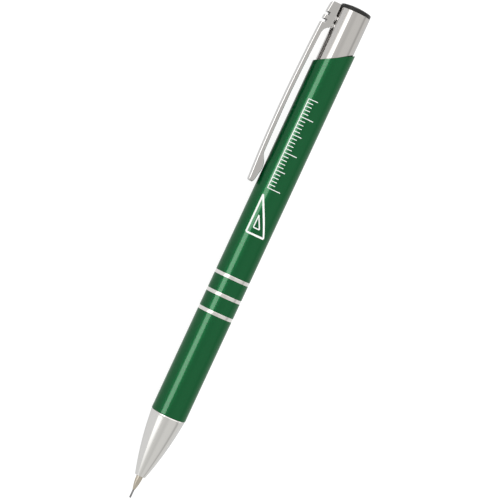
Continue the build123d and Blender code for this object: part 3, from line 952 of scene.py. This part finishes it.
# Directions square to the pencil's axis: towards the camera, and to the right as it sees them.
camera_turn = radians(CAMERA_TURN)
view = (PENCIL.to_3x3() @ Vector((sin(camera_turn), cos(camera_turn), 0))).normalized()
image_right = along.cross(view).normalized()
target = PENCIL @ (Vector(CAMERA_TARGET) * MM)


def make_camera():
    lean, tilt = radians(CAMERA_LEAN), radians(CAMERA_TILT)
    back = view * cos(tilt) + along * sin(tilt)
    up = (along * cos(tilt) - view * sin(tilt)) * cos(lean) - image_right * sin(lean)
    right = up.cross(back).normalized()
    camera = new_object("camera", bpy.data.cameras.new("camera"))
    camera.matrix_world = Matrix.Translation(target + back * CAMERA_DISTANCE * MM) @ Matrix(
        (right, up, back)).transposed().to_4x4()
    camera.data.sensor_width = SENSOR
    camera.data.lens = SENSOR * CAMERA_DISTANCE / FRAME_WIDTH
    camera.data.clip_start = 0.005
    bpy.context.scene.camera = camera


def make_floor(name, glow, albedo):
    """Pale floor, partly lit from below like a light table."""
    nodes = Nodes(name)
    grain = nodes.noise(40, detail=4.0)
    dim = albedo * 0.98
    nodes.set(
        Base_Color=nodes.mix(grain, (albedo, albedo, albedo, 1), (dim, dim, dim, 1)),
        Roughness=0.9,
        Specular_IOR_Level=0.1,
        Emission_Color=(1, 1, 1, 1),
        Emission_Strength=glow)
    mesh = bpy.data.meshes.new(name)
    reach = 3.0
    corners = [(-reach, -reach, 0), (reach, -reach, 0), (reach, reach, 0), (-reach, reach, 0)]
    mesh.from_pydata(corners, [], [(0, 1, 2, 3)])
    mesh.materials.append(nodes.material)
    floor = new_object(name, mesh)
    floor.location.z = cad_low.z
    return floor


def make_floors():
    """The white floor the camera sees, and a greyer one that only the gloss sees."""
    white = make_floor("floor", 0.93, 0.16)
    white.visible_glossy = False
    grey = make_floor("floor_in_reflections", 0.0, 0.82)
    grey.visible_camera = False
    grey.visible_diffuse = False
    grey.visible_shadow = False


# How bright the tent is at angles round the pencil from the camera's side, positive to the right.
TENT_ROUND = (
    (-180, 0.9), (-61, 0.88), (-35, 0.85), (-12, 0.8), (-6, 0.78), (0, 0.755), (6, 0.735),
    (12, 0.735), (17, 0.76), (23, 0.81), (29, 0.84), (41, 0.85), (60, 0.84), (68, 0.84),
    (74, 0.8), (80, 0.68), (85, 0.57), (90, 0.57), (94, 0.68), (99, 0.8), (106, 0.87),
    (119, 0.84), (180, 0.9))
TENT_TINT = (1, 0.99, 0.965)
# What that is multiplied by, from the writing end's side (0) to the cap's (1).
TENT_ALONG = (
    (0, 0.6), (0.06, 0.8), (0.14, 1), (0.6, 1), (0.7, 1.8), (0.89, 1.8), (0.96, 0.8), (1, 0.6))
TENT_PEAK = max(level for _, level in TENT_ALONG)    # taken out of the ramp, which ends at 1


def make_world():
    """Tent of soft light, brighter towards the cap's end, with a dark seam on the right."""
    world = bpy.data.worlds.new("tent")
    world.use_nodes = True
    tree = world.node_tree
    background = tree.nodes["Background"]
    where = tree.nodes.new("ShaderNodeTexCoord").outputs["Generated"]

    def dot(direction):
        node = tree.nodes.new("ShaderNodeVectorMath")
        node.operation = "DOT_PRODUCT"
        tree.links.new(where, node.inputs[0])
        node.inputs[1].default_value = direction
        return node.outputs["Value"]

    def ramp_node(fac, rows):
        ramp = tree.nodes.new("ShaderNodeValToRGB")
        tree.links.new(fac, ramp.inputs["Fac"])
        stops = ramp.color_ramp.elements
        while len(stops) < len(rows):
            stops.new(0.5)
        for stop, (position, colour) in zip(stops, rows):
            stop.position = position
            stop.color = (*colour, 1)
        return ramp.outputs["Color"]

    def share_of(value, low, high):
        node = tree.nodes.new("ShaderNodeMapRange")
        tree.links.new(value, node.inputs["Value"])
        node.inputs["From Min"].default_value = low
        node.inputs["From Max"].default_value = high
        return node.outputs["Result"]

    angle = tree.nodes.new("ShaderNodeMath")
    angle.operation = "ARCTAN2"
    tree.links.new(dot(image_right), angle.inputs[0])
    tree.links.new(dot(view), angle.inputs[1])
    rows = [
        ((place + 180) / 360, [level * channel for channel in TENT_TINT])
        for place, level in TENT_ROUND]
    colour = ramp_node(share_of(angle.outputs[0], -pi, pi), rows)
    tree.links.new(colour, background.inputs["Color"])
    rows = [(place, (level / TENT_PEAK,) * 3) for place, level in TENT_ALONG]
    strength = tree.nodes.new("ShaderNodeMath")
    strength.operation = "MULTIPLY"
    tree.links.new(ramp_node(share_of(dot(along), -1, 1), rows), strength.inputs[0])
    strength.inputs[1].default_value = TENT_PEAK
    tree.links.new(strength.outputs[0], background.inputs["Strength"])
    bpy.context.scene.world = world


# Long strip lights stand left of the camera, each seen only in its own pieces: a strong one for the
# lacquer, and a gentler one, with a brighter copy for the clip, for the metal. Each row is a place
# along the pencil (millimetres towards the writing end from the camera's target), the strip's left
# edge, the ramps inside its left and right edges and its right edge (degrees round the pencil), and
# its strength there.
STRIP_STEP = 25               # millimetres
STRIP_COLUMNS = 40
CLIP_STRIP_GAIN = 2.5
# Distances from the pencil's axis differ, because strips at one place would hide each other.
LACQUER_STRIP_DISTANCE = 600
CLIP_STRIP_DISTANCE = 580
METAL_STRIP_DISTANCE = 620
LACQUER_STRIP = (
    (-400, -50.5, 12, 12, -18.5, 0),
    (-210, -50.5, 9, 9, -18.5, 2.5),
    (-140, -50.5, 5, 5, -18.5, 7.7),
    (110, -50.5, 5, 5, -18.5, 7.7),
    (200, -56, 12, 12, -19, 2.0),
    (350, -66, 22, 22, -20, 0))
METAL_STRIP = (
    (-600, -53, 17, 5, -16, 1.3),
    (-125, -53, 17, 5, -16, 1.3),
    (-95, -58, 19, 5, -16.5, 1.3),
    (95, -62, 22, 5, -17.5, 1.3),
    (150, -66, 24, 12, -16, 1.2),
    (210, -70, 26, 22, -16, 1.0),
    (261, -74, 28, 27, -14, 0.8),
    (356, -78, 29, 28, -16, 0.55),
    (458, -83, 30, 30, -17, 0.32),
    (600, -86, 30, 30, -20, 0))


def strip_at(rows, place):
    """A strip's five numbers at a place along it."""
    for (low, *first), (high, *second) in zip(rows, rows[1:]):
        if place <= high:
            share = (place - low) / (high - low)
            return [a + (b - a) * share for a, b in zip(first, second)]
    return list(rows[-1][1:])


def make_strip_light(name, distance, rows, shown_by):
    """Soft strip on an arc round the pencil's axis, which lights only the given pieces."""
    shape = bmesh.new()
    glow_layer = shape.verts.layers.float.new("glow")
    lines = []
    for place in range(rows[0][0], rows[-1][0] + 1, STRIP_STEP):
        left, left_ramp, right_ramp, right, strength = strip_at(rows, place)
        line = []
        for column in range(STRIP_COLUMNS + 1):
            turned = left + (right - left) * column / STRIP_COLUMNS
            fade = min((turned - left) / left_ramp, (right - turned) / right_ramp, 1)
            outward = view * cos(radians(turned)) + image_right * sin(radians(turned))
            vertex = shape.verts.new(target - along * place * MM + outward * distance * MM)
            vertex[glow_layer] = strength * fade * fade * (3 - 2 * fade)
            line.append(vertex)
        lines.append(line)
    for low, high in zip(lines, lines[1:]):
        for index in range(STRIP_COLUMNS):
            shape.faces.new([low[index], low[index + 1], high[index + 1], high[index]])
    mesh = finish_shape(name, shape)
    nodes = Nodes(name)
    tree = nodes.tree
    tree.nodes.remove(nodes.shader)
    glow = nodes.add("ShaderNodeAttribute", attribute_name="glow").outputs["Fac"]
    emission = nodes.add("ShaderNodeEmission", {"Color": (1, 1, 1, 1), "Strength": glow})
    clear = nodes.add("ShaderNodeBsdfTransparent")
    both = nodes.add("ShaderNodeAddShader", {0: clear.outputs[0], 1: emission.outputs[0]})
    tree.links.new(both.outputs[0], tree.nodes["Material Output"].inputs["Surface"])
    mesh.materials.append(nodes.material)
    strip = new_object(name, mesh)
    strip.visible_camera = False
    strip.visible_diffuse = False
    strip.visible_shadow = False
    group = bpy.data.collections.new(name)
    for piece in shown_by:
        group.objects.link(piece)
    strip.light_linking.receiver_collection = group


def make_strip_lights(shell, clip):
    """Strong strip for the lacquered shell, middling one for the clip, gentle one for the rest."""
    meshes = [piece for piece in bpy.data.objects if piece.type == "MESH"]
    others = [piece for piece in meshes if piece not in (shell, clip)]
    clip_strip = [(*row[:-1], row[-1] * CLIP_STRIP_GAIN) for row in METAL_STRIP]
    make_strip_light("strip_for_lacquer", LACQUER_STRIP_DISTANCE, LACQUER_STRIP, [shell])
    make_strip_light("strip_for_clip", CLIP_STRIP_DISTANCE, clip_strip, [clip])
    make_strip_light("strip_for_metal", METAL_STRIP_DISTANCE, METAL_STRIP, others)


def make_sun():
    """Very soft overhead light that lifts the floor and the print to white."""
    lamp = bpy.data.lights.new("overhead", "SUN")
    lamp.energy = 1.2
    lamp.angle = radians(70)
    sun = new_object("overhead", lamp)
    sun.visible_glossy = False
    sun.rotation_euler = (radians(-8), radians(6), 0)


# ---------------------------------------------------------------- build it all
bpy.context.scene.view_settings.view_transform = "Standard"
make_camera()
barrel_shell = make_barrel()
make_rings()
make_nose()
make_tip()
make_lead()
make_spring()
make_cap_tube()
make_plug()
make_eraser()
make_socket()
clip_channel = make_clip()
make_print()
dress_cad_nodes()
make_floors()
make_world()
make_strip_lights(barrel_shell, clip_channel)
make_sun()
